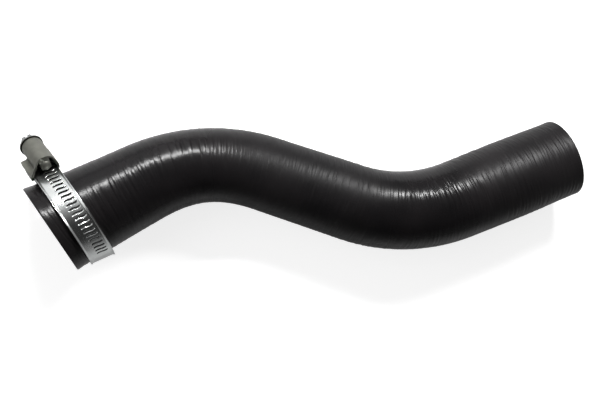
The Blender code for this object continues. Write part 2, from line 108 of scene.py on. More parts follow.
hose = {
    "inlet": (-130.531, -18.711, 0.0),    # where the centreline starts, on the floor
    "heading": 27.5,
    "runs": (    # straight length, or bend radius and angle, from the wide end on
        (48.6, 0.0, 0.0), (0.0, 81.6, -45.6), (46.5, 0.0, 0.0), (0.0, 86.3, 39.0),
        (63.9, 0.0, 0.0)),
    "wall": 4.25,
    "inletBore": 19.0,    # this and the next three are radii of the bore
    "waistBore": 14.3,
    "swellBore": 17.2,
    "outletBore": 16.7,
    "taperLength": 113.0,
    "taperEase": 1.8,
    "swellFrom": 26.0,
    "swellTo": 266.0,
    "cuffLength": 35.0,
    "pinch": 0.9,
    "edgeRounding": 0.6,
    "cutLean": 5.7,
    "cutTilt": 6.7,
    "cutBlend": 45.0,
    "liftLength": 76.0,
    "sides": 80,
    "ringStep": 0.3,
    "boreRings": 10,    # inside, one ring for so many outside
    "wrinkleSpacing": 1.6,
    "wrinkleHeight": 0.19,
    "wrinkleInset": 0.13,    # keeps the tops of the prints inside the hose's size
    "wrinkleFade": 4.0,
    "wrinkleDrift": 2.4,
    "driftLength": 33.333,
    "patchLength": 40.0,
    "colours": ("100f10", "191718"),
    "blotchSize": 26.316,
    "printSize": (0.66667, 9.0909),    # along the hose and round it
    "printRadius": 20.0,    # where the prints have their true size round the hose
    "printDepth": 0.06,
    "gritSize": 0.38462,
    "gritDepth": 0.02,
    "dullness": (    # share of the hose's length, share of dullness
        (0.0, 0.1), (0.28, 0.1), (0.37, 1.0), (0.56, 1.0),
        (0.65, 0.1), (0.76, 0.1), (0.82, 0.8), (1.0, 0.9)),
    "roughness": (0.17, 0.43),
}


def hoseRuns():
    for length, radius, angle in hose["runs"]:
        if radius:
            yield radius * abs(math.radians(angle)) * mm, math.copysign(1.0 / (radius * mm), angle)
        else:
            yield length * mm, 0.0


hoseLength = sum(length for length, curvature in hoseRuns())


def centreline(distance):
    x, y, heading = 0.0, 0.0, math.radians(hose["heading"])
    left = distance
    for length, curvature in hoseRuns():
        step = min(left, length)
        left -= step
        if curvature:
            turn = heading + step * curvature
            x += (math.sin(turn) - math.sin(heading)) / curvature
            y -= (math.cos(turn) - math.cos(heading)) / curvature
            heading = turn
        else:
            x += step * math.cos(heading)
            y += step * math.sin(heading)
    return Vector(hose["inlet"]) * mm + Vector((x, y, 0.0)), heading


def boreRadius(distance):
    s = distance / mm
    taper = (1.0 - min(max(s, 0.0) / hose["taperLength"], 1.0)) ** hose["taperEase"]
    swell = ease((s - hose["swellFrom"]) / (hose["swellTo"] - hose["swellFrom"]))
    cuff = ease((s - hoseLength / mm + hose["cuffLength"]) / hose["cuffLength"])
    radius = hose["waistBore"] + (hose["inletBore"] - hose["waistBore"]) * taper
    radius += (hose["swellBore"] - hose["waistBore"]) * swell
    return (radius + (hose["outletBore"] - hose["swellBore"]) * cuff) * mm


def outerRadius(distance):
    return boreRadius(distance) + hose["wall"] * mm


def liftOf(distance):
    # the clamp under the wide end holds it a little off the floor
    def share(place):
        return max(0.0, 1.0 - place / (hose["liftLength"] * mm)) ** 2
    tilt = math.radians(hose["cutTilt"])
    reach = (bandRadius + (band["thickness"] / 2 + band["lip"]) * mm) * math.cos(tilt)
    reach += band["width"] / 2 * mm * math.sin(tilt)
    return (reach - outerRadius(bandMiddle)) * share(distance) / share(bandMiddle)


def pinchOf(distance):
    # the first bend is drawn in a little on its inner side
    lengths = [length for length, curvature in hoseRuns()]
    share = (distance - lengths[0]) / lengths[1]
    return hose["pinch"] * mm * math.sin(math.pi * share) ** 2 if 0.0 < share < 1.0 else 0.0


def hoseSection(distance):
    # centre, across, upwards and half the pinch: it leans with the oblique cut near the wide end
    plan, heading = centreline(distance)
    along = Vector((math.cos(heading), math.sin(heading), 0.0))
    side = Vector((-math.sin(heading), math.cos(heading), 0.0))
    squeeze = pinchOf(distance) / 2
    centre = plan + up * (outerRadius(distance) + liftOf(distance)) + side * squeeze
    share = max(0.0, 1.0 - distance / (hose["cutBlend"] * mm))
    across = side - along * math.tan(math.radians(hose["cutLean"])) * share
    rise = up + along * math.tan(math.radians(hose["cutTilt"])) * share
    return centre, across, rise, squeeze


def wrapWrinkle(distance, angle):
    # prints of the wrapping tape: fine ridges across the hose that wander, fork and fade
    def field(along, around, shift=0.0):
        # around is how quickly the pattern changes round the hose
        x, y = math.cos(angle), math.sin(angle)
        return noise.noise(Vector((along, x * around + shift, y * around)))
    s = distance / mm
    drift = field(s / hose["driftLength"], 0.8)
    line = (s + drift * hose["wrinkleDrift"]) / hose["wrinkleSpacing"] * 2.0
    # two layers of ridges, deeper in some patches than in others
    ridge = field(line, 2.3) + 0.6 * field(line * 0.37, 3.1, 7.0)
    patch = 0.7 + 0.9 * field(s / hose["patchLength"], 1.3, 3.0)
    return (hose["wrinkleHeight"] * ridge * max(0.25, patch) - hose["wrinkleInset"]) * mm


def hoseRings():
    # (distance, radius, how much of the wrap shows) for each ring, round the whole skin
    rounding = hose["edgeRounding"] * mm

    def mouth(end, inwards):
        rings = []
        for outside, turns in ((False, range(0, 91, 15)), (True, range(90, -1, -15))):
            for turn in turns:
                depth = rounding * (1.0 - math.sin(math.radians(turn)))
                offset = rounding * (1.0 - math.cos(math.radians(turn)))
                place = end + inwards * depth
                reach = hose["wall"] * mm - offset if outside else offset
                rings.append((place, boreRadius(place) + reach, 0.0))
        return rings
    plain = hoseLength - 2 * rounding
    count = round(plain / (hose["ringStep"] * mm))
    places = [rounding + plain * k / count for k in range(1, count)]
    rings = mouth(0.0, 1.0)
    for place in places:
        toEnd = min(place, hoseLength - place) - rounding
        rings.append((place, outerRadius(place), ease(toEnd / (hose["wrinkleFade"] * mm))))
    rings += reversed(mouth(hoseLength, -1.0))
    rings += [(place, boreRadius(place), 0.0) for place in places[::-hose["boreRings"]]]
    return rings


def makeHose():
    # one grid, wrapped round the path and closed both ways
    rings, sides = hoseRings(), hose["sides"]
    tall = len(rings)
    bm = bmesh.new()
    uv = bm.loops.layers.uv.new("skin")
    bmesh.ops.create_grid(bm, x_segments=tall, y_segments=sides, size=1.0)
    for vert in bm.verts:
        vert.co.x = (vert.co.x + 1.0) / 2 * tall
        vert.co.y = (vert.co.y + 1.0) / 2 * sides
    girth = 2 * math.pi * hose["printRadius"] * mm
    for face in bm.faces:
        for loop in face.loops:
            ring, side = round(loop.vert.co.x), round(loop.vert.co.y)
            loop[uv].uv = (rings[min(ring, tall - 1)][0], side / sides * girth)
    sections = {}
    for vert in bm.verts:
        ring, side = round(vert.co.x) % tall, round(vert.co.y) % sides
        place, radius, show = rings[ring]
        angle = 2 * math.pi * side / sides
        if show:
            radius += wrapWrinkle(place, angle) * show
        if ring not in sections:
            sections[ring] = hoseSection(place)
        centre, across, rise, squeeze = sections[ring]
        vert.co = (centre + across * math.cos(angle) * (radius - squeeze)
                   + rise * math.sin(angle) * radius)
    closeSeams(bm)
    return newPiece("hoseSkin", bm, "hose", "hose_body", 50.0)


band = {
    "setback": 6.9,
    "width": 12.0,
    "thickness": 0.7,
    "lip": 0.5,
    "lipWidth": 1.1,
    "lipUnderside": 0.85,    # share of the lip that the underside follows
    "lipSetback": 0.04,
    "lipSteps": 8,
    "corner": 0.05,
    "cornerLow": 0.12,
    "cornerHigh": 0.14,
    "seatGap": 0.8,
    "roll": 9.0,
    "trackAcross": 1.25,
    "trackWidth": 5.7,
    "trackSamples": 64,
    "trackStep": 0.14,
    "plainStep": 1.0,
    "pastTrack": 2.0,
    "pitch": 2.45,
    "grooveWidth": 1.1,
    "grooveDepth": 0.4,
    "grooveWall": 0.48,
    "grooveRise": 1.5,
    "grooveHook": 0.75,
    "grooveEnd": 0.45,
    "grooveSlant": 15.0,
    "trackMargin": 1.8,
    "trackEnd": -60.0,
    "leaveAngle": 30.0,
    "housingTilt": 43.0,
    "leadInRadius": 66.0,
    "returnRadius": 12.0,
    "saddleLength": 10.0,
    "tailLength": 11.4,
    "clearance": 0.3,
    "colours": ("c3c6c6", "d2d4d3"),
    # colour of the painted shade on the walls of the pressed thread
    "paintedShadeColour": "1c1b18",
    "cloudSize": 6.25,
    "rollingSize": (16.667, 0.16667),    # along the strip and across it
    "rollingDepth": 0.01,
    "roughness": (0.2, 0.3),
}

bandRadius = outerRadius(band["setback"] * mm) + (band["seatGap"] + band["thickness"] / 2) * mm
bandMiddle = (band["setback"] + band["width"] / 2) * mm


def outward(angle):
    return Vector((math.sin(angle), math.cos(angle)))


def onward(angle):
    return Vector((-math.cos(angle), math.sin(angle)))


layerPitch = (band["thickness"] + band["lip"] + band["clearance"]) * mm
mouthTilt = math.radians(band["housingTilt"])
leave = math.radians(band["leaveAngle"])
leadIn = band["leadInRadius"] * mm
mouthPlace = outward(leave) * (bandRadius - leadIn) + outward(mouthTilt) * leadIn


def loopRuns():
    # (length, radius) from the free end round the loop and back in under the free end
    bend = band["returnRadius"] * mm
    saddleEnd = (mouthPlace - onward(mouthTilt) * band["saddleLength"] * mm
                 - outward(mouthTilt) * layerPitch)
    bendCentre = saddleEnd - outward(mouthTilt) * bend
    bendAngle = math.atan2(bendCentre.x, bendCentre.y)
    touch = bendAngle + math.acos((bandRadius - bend) / bendCentre.length)
    return (
        (band["tailLength"] * mm, 0.0),
        (leadIn * (mouthTilt - leave), leadIn),
        (bandRadius * (leave + 2 * math.pi - touch), bandRadius),
        (bendCentre.length * math.sin(touch - bendAngle), 0.0),
        (bend * (touch - mouthTilt), bend),
        ((band["saddleLength"] - band["clearance"]) * mm, 0.0),
    )


loopLength = sum(length for length, radius in loopRuns())
trackFirst = band["trackMargin"] * mm
trackLast = sum(length for length, radius in loopRuns()[:2])
trackLast += bandRadius * (leave - math.radians(band["trackEnd"]))


def loopPlace(distance):
    tilt = mouthTilt
    place = mouthPlace - onward(tilt) * band["tailLength"] * mm
    left = distance
    for length, radius in loopRuns():
        step = min(left, length)
        left -= step
        if radius:
            turn = tilt - step / radius
            place = place + (outward(turn) - outward(tilt)) * radius
            tilt = turn
        else:
            place = place + onward(tilt) * step
    return place, tilt


def stripFrame(place, tilt):
    # X onwards along the strip, Y across it away from the wide end, Z out of the loop
    plan, heading = centreline(bandMiddle)
    centre = plan + up * (outerRadius(bandMiddle) + liftOf(bandMiddle))
    turn, lean = heading + math.radians(hose["cutLean"]), math.radians(hose["cutTilt"])
    side = Vector((-math.sin(turn), math.cos(turn), 0.0))
    axis = Vector((math.cos(turn), math.sin(turn), 0.0)) * math.cos(lean) - up * math.sin(lean)
    rise = axis.cross(side)
    out = side * outward(tilt).x + rise * outward(tilt).y
    roll = math.radians(band["roll"]) * math.sin(tilt)
    across = axis * math.cos(roll) - out * math.sin(roll)
    height = out * math.cos(roll) + axis * math.sin(roll)
    return basis(centre + side * place.x + rise * place.y, across.cross(height), across, height)


def stripOutline():
    # (across, height) round the strip's section, with both edges rolled up and softened
    half, top, low = band["width"] / 2, band["thickness"] / 2, -band["thickness"] / 2
    lip, lipWidth, steps = band["lip"], band["lipWidth"], band["lipSteps"]
    corner, setback = band["corner"], band["lipSetback"]
    lifted = lip * band["lipUnderside"]
    under, over = [], []
    for k in range(steps + 1):
        share = k / steps
        reach = half - lipWidth + lipWidth * share
        under.append((reach, low + lifted * ease(share) * share))
        over.append((reach - setback, top + lip * ease(share)))
    edge = [(half - corner, low + lifted), (half, low + lifted + band["cornerLow"]),
            (half, top + lip - band["cornerHigh"]), (half - corner, top + lip - corner)]
    right = under[:-1] + edge + over[::-1][1:]
    flat, samples = half - lipWidth - setback, band["trackSamples"]
    track = [(flat - 2 * flat * (k / samples), top) for k in range(1, samples)]
    return right + track + [(-across, height) for across, height in reversed(right)]


def grooveAt(along, across):
    # how deep the pressed thread is here and how much painted shade darkens it, both as shares:
    # a steep wall towards the housing, then a slower rise, with the ends hooked
    pitch, half = band["pitch"] * mm, band["trackWidth"] / 2 * mm
    across -= band["trackAcross"] * mm
    slant = math.radians(band["grooveSlant"])
    number = round((along - trackFirst - across * math.tan(slant)) / pitch)
    number = min(max(number, 0), int((trackLast - trackFirst) / pitch))
    x = along - trackFirst - number * pitch
    lengthwise = across * math.cos(slant) + x * math.sin(slant)
    x += band["grooveHook"] * mm * (lengthwise / half) ** 3
    width, wall = band["grooveWidth"] * mm, band["grooveWall"] * mm
    into = x * math.cos(slant) - across * math.sin(slant) + width / 2
    if not 0.0 < into < width:
        return 0.0, 0.0
    past = (into - wall) / (width - wall)
    rise = 1.0 - max(0.0, past) ** band["grooveRise"]
    ends = ease((half - abs(lengthwise)) / (band["grooveEnd"] * mm))
    # painted shade: darkest on the steep wall and the start of the rise, so each groove gets a dark
    # outline
    paintedShade = ease(into / (0.4 * wall)) * (1.0 - ease(past / 0.6))
    return ease(into / wall) * rise * ends, paintedShade * ends


def stripStations():
    # close together until just past the pressed track, wider over the plain strip
    stations, place = [0.0], 0.0
    while place < loopLength - tiny * mm:
        fine = place < trackLast + band["pastTrack"] * mm
        step = band["trackStep"] if fine else band["plainStep"]
        place = min(place + step * mm, loopLength)
        stations.append(place)
    return stations


def makeBand():
    # the section is drawn out straight, then rolled round the loop
    stations = stripStations()
    bm = bmesh.new()
    verts = [bm.verts.new((0.0, across * mm, height * mm)) for across, height in stripOutline()]
    start = [bm.edges.new(pair) for pair in zip(verts, verts[1:] + verts[:1])]
    edges = start
    for here, there in zip(stations, stations[1:]):
        grown = bmesh.ops.extrude_edge_only(bm, edges=edges)["geom"]
        verts = [g for g in grown if isinstance(g, bmesh.types.BMVert)]
        bmesh.ops.translate(bm, vec=(there - here, 0.0, 0.0), verts=verts)
        fresh = set(verts)
        edges = [g for g in grown if isinstance(g, bmesh.types.BMEdge) and set(g.verts) <= fresh]
    bmesh.ops.contextual_create(bm, geom=start)
    bmesh.ops.contextual_create(bm, geom=edges)
    uv = bm.loops.layers.uv.new("strip")
    for face in bm.faces:
        for loop in face.loops:
            loop[uv].uv = loop.vert.co.xy
    top = band["thickness"] / 2 * mm
    inside = (band["width"] / 2 - band["lipWidth"] - band["corner"]) * mm
    frames = {}
    # share of painted shade at each point of the pressed track, read by the strip's material
    paintedShadeLayer = bm.verts.layers.float.new("paintedShade")
    for vert in bm.verts:
        along, across, height = vert.co
        if abs(height - top) < tiny and abs(across) < inside:
            depth, vert[paintedShadeLayer] = grooveAt(along, across)
            height -= depth * band["grooveDepth"] * mm
        key = round(along / mm, 3)
        if key not in frames:
            frames[key] = stripFrame(*loopPlace(along))
        vert.co = frames[key] @ Vector((0.0, across, height))
    bmesh.ops.recalc_face_normals(bm, faces=bm.faces)
    return newPiece("bandStrip", bm, "hose", "clamp_band", 40.0)


housing = {
    "sheet": 0.85,
    "skirtLength": 13.2,
    "barrelLength": 16.5,
    "flareLength": 5.0,
    "mouthRake": 3.0,
    "rakeLength": 4.0,
    "sections": (0.0, 0.7, 1.4, 2.2, 3.0, 3.8, 4.6, 5.0, 7.0, 9.0, 11.5),    # none at a cut
    "arcPoints": 41,
    "fillet": 1.4,
    "filletCut": 6,
    "filletSteps": 6,
    "edge": 0.12,
    "neckOverlap": 1.2,
    "neckInside": 0.15,    # the neck's own faces stay clear of the barrel's
    "neckOutside": 0.02,
    "neckSides": 64,
    "tongueWidth": 4.8,
    "tongueSetback": 0.15,
    "tongueDrop": 2.2,
    "noseLength": 1.5,
    "noseRadius": 2.7,
    "noseSides": 40,
    "colours": ("6b6c65", "797972"),
    "cloudSize": 3.8462,
    "gritSize": 0.33333,
    "gritDepth": 0.02,
    "roughness": (0.42, 0.6),
}

screw = {
    "sides": 72,
    "wormRadius": 4.0,
    "rootRadius": 3.3,
    "wormStart": 3.2,
    "wormTurns": 4.2,
    "turnSteps": 36,
    "crest": 0.7,
    "base": 1.5,
    "tipStart": 2.4,
    "tipChamfer": 0.8,
    "journalRadius": 3.9,
    "journalLength": 2.2,
    "collarRadius": 5.65,
    "collarThickness": 1.2,
    "collarEdge": 0.25,
    "acrossFlats": 7.0,
    "hexHeight": 3.6,
    "hexEdge": 0.18,
    "slotWidth": 1.2,
    "slotDepth": 1.6,
    "edge": 0.08,
    "colours": ("8f908f", "a2a3a2"),
    # painted shade under the collar: its colour, then the heights over which it fades out
    "paintedShadeColour": "302f29",
    "paintedShadeFrom": 0.55,    # heights over the barrel's end
    "paintedShadeTo": 0.8,
    "cloudSize": 2.381,
    "cloudDepth": 0.02,
    "roughness": (0.27, 0.38),
}

# the housing and the screw stand in the strip's frame at the housing's mouth
wormHeight = band["thickness"] / 2 + band["clearance"] + screw["wormRadius"]
barrelInner = screw["wormRadius"] + band["clearance"]
mouthFrame = stripFrame(mouthPlace, mouthTilt)


def archPoints(halfWidth, shoulder, radius, foot, flare):
    # the housing's section as (across, height): foot, shoulder, barrel and down again
    def barrelAngle(side):
        corner = Vector((side * halfWidth - band["trackAcross"], shoulder - wormHeight))
        level = math.asin(corner.y / radius)
        steep = math.atan2(corner.y, side * corner.x) + math.acos(radius / corner.length)
        return level + (steep - level) * flare
    left, right = math.pi - barrelAngle(-1.0), barrelAngle(1.0)
    arc = []
    for k in range(housing["arcPoints"]):
        angle = left + (right - left) * k / (housing["arcPoints"] - 1)
        arc.append((band["trackAcross"] + radius * math.cos(angle),
                    wormHeight + radius * math.sin(angle)))
    return filletPath([(-halfWidth, foot), (-halfWidth, shoulder)], arc,
                      [(halfWidth, shoulder), (halfWidth, foot)])


def filletPath(start, arc, end):
    # the crease between each shoulder and the barrel becomes a small curve
    steps, cut = housing["filletSteps"], housing["filletCut"]

    def curve(shoulder, crease, beyond):
        shoulder, crease, beyond = Vector(shoulder), Vector(crease), Vector(beyond)
        reach = min(housing["fillet"], (shoulder - crease).length * 0.8)
        first = crease + (shoulder - crease).normalized() * reach
        shares = [k / steps for k in range(steps + 1)]
        return [tuple(first.lerp(crease, t).lerp(crease.lerp(beyond, t), t)) for t in shares]
    left = curve(start[1], arc[0], arc[cut])
    right = curve(end[0], arc[-1], arc[-1 - cut])
    return start + left + arc[cut + 1:-1 - cut] + right[::-1] + end


def archRow(depth, halfWidth, shoulder, radius, foot):
    flare = max(0.0, 1.0 - depth / housing["flareLength"]) ** 2
    rake = housing["mouthRake"] * max(0.0, 1.0 - depth / housing["rakeLength"])
    row = []
    for across, height in archPoints(halfWidth, shoulder, radius, foot, flare):
        back = rake if height == foot else 0.0
        row.append(Vector((-depth - back, across, height)) * mm)
    return row


def wrapGrid(rows):
    # a grid laid through closed rows of points, closed from the last row to the first
    bm = bmesh.new()
    bmesh.ops.create_grid(bm, x_segments=len(rows), y_segments=len(rows[0]), size=0.5)
    for vert in bm.verts:
        row = rows[round((vert.co.x + 0.5) * len(rows)) % len(rows)]
        vert.co = row[round((vert.co.y + 0.5) * len(row)) % len(row)]
    closeSeams(bm)
    return bm


def axleFrame(depth):
    place = Matrix.Translation(Vector((-depth, band["trackAcross"], wormHeight)) * mm)
    return mouthFrame @ place @ Matrix.Rotation(-math.pi / 2, 4, "Y")


def helper(name, bm, matrix):
    # a cutter or an added shape for a Boolean, gone once that is done
    bmesh.ops.recalc_face_normals(bm, faces=bm.faces)
    bm.transform(matrix)
    return linkedObject(name, bm)


def boxHelper(name, low, high, matrix, edge=0.0):
    bm = bmesh.new()
    bmesh.ops.create_cube(bm, size=1.0)
    low, high = Vector(low) * mm, Vector(high) * mm
    size = high - low
    bm.transform(Matrix.Translation((low + high) / 2) @ Matrix.Diagonal((*size, 1.0)))
    if edge:
        bevelSharp(bm, edge, 2)
    return helper(name, bm, matrix)


def applyBooleans(bm, steps):
    # joins and cuts a copy, removes the helpers and hands back the finished bmesh
    work = linkedObject("raw", bm)
    for operation, other in steps:
        modifier = work.modifiers.new(other.name, "BOOLEAN")
        modifier.operation = operation
        modifier.solver = "EXACT"
        modifier.object = other
    graph = bpy.context.evaluated_depsgraph_get()
    done = bpy.data.meshes.new_from_object(work.evaluated_get(graph))
    result = bmesh.new()
    result.from_mesh(done)
    for obj in [work] + [other for operation, other in steps]:
        bpy.data.objects.remove(obj, do_unlink=True)
    bpy.data.meshes.remove(done)
    bmesh.ops.remove_doubles(result, verts=result.verts, dist=tiny)
    bmesh.ops.dissolve_degenerate(result, dist=tiny, edges=result.edges)
    return result


def makeHousing():
    sheet, clear, wide = housing["sheet"], band["clearance"], band["width"]
    half, middle = band["thickness"] / 2, band["trackAcross"]
    top, low = half + band["lip"] + clear, -half - layerPitch / mm - clear
    depths = housing["sections"] + (housing["skirtLength"],)
    outer = [archRow(depth, wide / 2 + clear + sheet, top + sheet, barrelInner + sheet,
                     low - sheet) for depth in depths]
    inner = [archRow(depth, wide / 2 + clear, top, barrelInner, low) for depth in depths]
    shell = wrapGrid(outer + inner[::-1])
    shell.transform(mouthFrame)

    # the barrel runs on past the skirt as a neck
    neckIn = barrelInner + housing["neckInside"]
    neckOut = barrelInner + sheet - housing["neckOutside"]
    start, end = housing["skirtLength"] - housing["neckOverlap"], housing["barrelLength"]
    ring = turned([(neckOut, start), (neckOut, end), (neckIn, end), (neckIn, start)],
                  housing["neckSides"], closed=True)
    neck = helper("neck", ring, axleFrame(0.0))

    # behind the saddle the housing is open below
    behind = 30.0
    opening = boxHelper("opening", (-behind, -wide, low - 4 * sheet),
                        (-band["saddleLength"], wide, -half - clear), mouthFrame)

    # the tongue closes the mouth in front of the screw, with a nose pressed into it
    front, tongueHalf = -housing["tongueSetback"], housing["tongueWidth"] / 2
    tongue = boxHelper(
        "tongue", (front - sheet, middle - tongueHalf, wormHeight - housing["tongueDrop"]),
        (front, middle + tongueHalf, wormHeight + barrelInner + sheet / 8), mouthFrame,
        housing["edge"])
    ball = bmesh.new()
    sides = housing["noseSides"]
    bmesh.ops.create_uvsphere(ball, u_segments=sides, v_segments=sides // 2, radius=mm)
    ball.transform(Matrix.Diagonal(
        (housing["noseLength"], tongueHalf, housing["noseRadius"], 1.0)))
    ball.transform(Matrix.Translation(
        Vector((front - sheet / 2, middle, wormHeight - clear)) * mm))
    nose = helper("nose", ball, mouthFrame)

    bm = applyBooleans(
        shell, [("DIFFERENCE", opening), ("UNION", neck), ("UNION", tongue), ("UNION", nose)])
    piece = newPiece("housingShell", bm, "hose", "clamp_housing", 32.0)
    breakEdges(piece, housing["edge"])
    return piece


def makeScrew():
    # heights are over the barrel's end, which is where the axle's frame stands
    length = housing["barrelLength"]
    axle = axleFrame(length)
    wormEnd = length - screw["journalLength"]
    collarStart = length + band["clearance"]
    collarEnd = collarStart + screw["collarThickness"]
    root, journal, collar = screw["rootRadius"], screw["journalRadius"], screw["collarRadius"]
    tip, chamfer, edge = screw["tipStart"], screw["tipChamfer"], screw["collarEdge"]
    profile = [
        (0.0, tip), (root - chamfer, tip), (root, tip + chamfer), (root, wormEnd),
        (journal, wormEnd + journal - root), (journal, collarStart), (collar - edge, collarStart),
        (collar - edge * 0.3, collarStart + edge * 0.3), (collar, collarStart + edge),
        (collar, collarEnd - edge), (collar - edge * 0.3, collarEnd - edge * 0.3),
        (collar - edge, collarEnd), (0.0, collarEnd),
    ]
    blank = turned([(radius, depth - length) for radius, depth in profile], screw["sides"])
    blank.transform(axle)

    # the worm's thread: one section, spun up a helix at the strip's pitch
    crest, base, perTurn = screw["crest"], screw["base"], screw["turnSteps"]
    low = root - (screw["wormRadius"] - root) / 2
    level = screw["wormStart"] - length + base / 2
    corners = ((low, -base / 2), (screw["wormRadius"], -crest / 2),
               (screw["wormRadius"], crest / 2), (low, base / 2))
    thread = bmesh.new()
    section = thread.faces.new(
        [thread.verts.new(Vector((radius, 0.0, level + height)) * mm) for radius, height in corners])
    steps = round(screw["wormTurns"] * perTurn)
    bmesh.ops.spin(thread, geom=[section], cent=(0, 0, 0), axis=up,
                   dvec=(0, 0, band["pitch"] * mm / perTurn), angle=2 * math.pi * steps / perTurn,
                   steps=steps, use_merge=False, use_duplicate=False)
    worm = helper("worm", thread, axle)

    # the hexagon is raised from inside the collar, and its edges are broken
    foot = band["clearance"] + screw["collarThickness"] / 2
    top = band["clearance"] + screw["collarThickness"] + screw["hexHeight"]
    hexBody = bmesh.new()
    corners = bmesh.ops.create_circle(
        hexBody, cap_ends=True, segments=6,
        radius=screw["acrossFlats"] / 2 / math.cos(math.pi / 6) * mm)["verts"]
    grown = bmesh.ops.extrude_face_region(hexBody, geom=[corners[0].link_faces[0]])["geom"]
    raised = [g for g in grown if isinstance(g, bmesh.types.BMVert)]
    bmesh.ops.translate(hexBody, vec=(0, 0, (top - foot) * mm), verts=raised)
    bmesh.ops.translate(hexBody, vec=(0, 0, foot * mm), verts=hexBody.verts)
    hexBody.normal_update()
    bevelSharp(hexBody, screw["hexEdge"], 3)
    hexagon = helper("hexagon", hexBody, axle)
    past, slotHalf = 2 * collar, screw["slotWidth"] / 2
    slot = boxHelper("slot", (-past, -slotHalf, top - screw["slotDepth"]),
                     (past, slotHalf, top + screw["hexHeight"]), axle)

    bm = applyBooleans(blank, [("UNION", worm), ("UNION", hexagon), ("DIFFERENCE", slot)])
    uv = bm.loops.layers.uv.new("axle")
    turnedBack = axle.inverted()
    for face in bm.faces:
        for loop in face.loops:
            x, y, z = turnedBack @ loop.vert.co
            loop[uv].uv = (z, math.hypot(x, y))
    piece = newPiece("wormScrew", bm, "screw", "clamp_screw", 32.0)
    breakEdges(piece, screw["edge"])
    return piece


def fromHex(code):
    # sRGB hex to linear
    channels = [int(code[k:k + 2], 16) / 255 for k in (0, 2, 4)]
    linear = (c / 12.92 if c <= 0.04045 else ((c + 0.055) / 1.055) ** 2.4 for c in channels)
    return (*linear, 1.0)


def grey(value):
    return (value, value, value, 1.0)


def twoTone(colours):
    # a quiet change between two colours over the middle of a noise
    return [(position, fromHex(code)) for position, code in zip((0.3, 0.7), colours)]


def perMetre(size):
    return 1.0 / (size * mm)


def plug(node, values=None, links=None):
    for name, value in (values or {}).items():
        node.inputs[name].default_value = value
    for name, source in (links or {}).items():
        node.id_data.links.new(source, node.inputs[name])
    return node


def addNode(tree, kind, settings=None, values=None, links=None, stops=()):
    node = tree.nodes.new("ShaderNode" + kind)
    for name, value in (settings or {}).items():
        setattr(node, name, value)
    for index, (position, colour) in enumerate(stops):
        if index >= len(node.color_ramp.elements):
            node.color_ramp.elements.new(1.0)
        node.color_ramp.elements[index].position = position
        node.color_ramp.elements[index].color = colour
    return plug(node, values, links)


def newMaterial(name):
    material = bpy.data.materials.new(name)
    material.use_nodes = True
    tree = material.node_tree
    return material, tree, tree.nodes["Principled BSDF"]


def rubberMaterial():
    # EPDM rubber cured under wrapping tape: near black, satin, with fine prints across it
    material, tree, shader = newMaterial("epdmRubberWrapCured")
    place = addNode(tree, "TexCoord").outputs["Object"]
    skin = addNode(tree, "UVMap", {"uv_map": "skin"}).outputs["UV"]
    blotch = addNode(tree, "TexNoise", links={"Vector": place},
                     values={"Scale": perMetre(hose["blotchSize"]), "Detail": 3.0}).outputs["Fac"]
    tint = addNode(tree, "ValToRGB", links={"Fac": blotch}, stops=twoTone(hose["colours"]))
    # tape and cloth prints: long round the hose, short along it
    along, around = (perMetre(size) for size in hose["printSize"])
    stretched = addNode(tree, "Mapping", values={"Scale": (along, around, 1.0)},
                        links={"Vector": skin})
    prints = addNode(tree, "TexNoise", values={"Scale": 1.0, "Detail": 3.0, "Roughness": 0.6},
                     links={"Vector": stretched.outputs["Vector"]})
    grit = addNode(tree, "TexNoise", values={"Scale": perMetre(hose["gritSize"]), "Detail": 2.0},
                   links={"Vector": place})
    # handling has polished the wide end and the second bend, and left the rest duller
    distance = addNode(tree, "SeparateXYZ", links={"Vector": skin}).outputs["X"]
    share = addNode(tree, "MapRange", values={"From Max": hoseLength}, links={"Value": distance})
    dull = addNode(tree, "ValToRGB", links={"Fac": share.outputs["Result"]},
                   stops=[(position, grey(value)) for position, value in hose["dullness"]])
    mottled = addNode(tree, "Mix", values={"Factor": 0.3},
                      links={"A": dull.outputs["Color"], "B": blotch})
    smooth, matt = hose["roughness"]
    rough = addNode(tree, "MapRange", values={"From Max": 0.85, "To Min": smooth, "To Max": matt},
                    links={"Value": mottled.outputs["Result"]})
    bump = addNode(tree, "Bump", values={"Strength": 0.6, "Distance": hose["printDepth"] * mm},
                   links={"Height": prints.outputs["Fac"]})
    fine = addNode(tree, "Bump", values={"Strength": 0.25, "Distance": hose["gritDepth"] * mm},
                   links={"Height": grit.outputs["Fac"], "Normal": bump.outputs["Normal"]})
    plug(shader, {"IOR": 1.5, "Specular IOR Level": 0.18},
         {"Base Color": tint.outputs["Color"], "Roughness": rough.outputs["Result"],
          "Normal": fine.outputs["Normal"]})
    return material


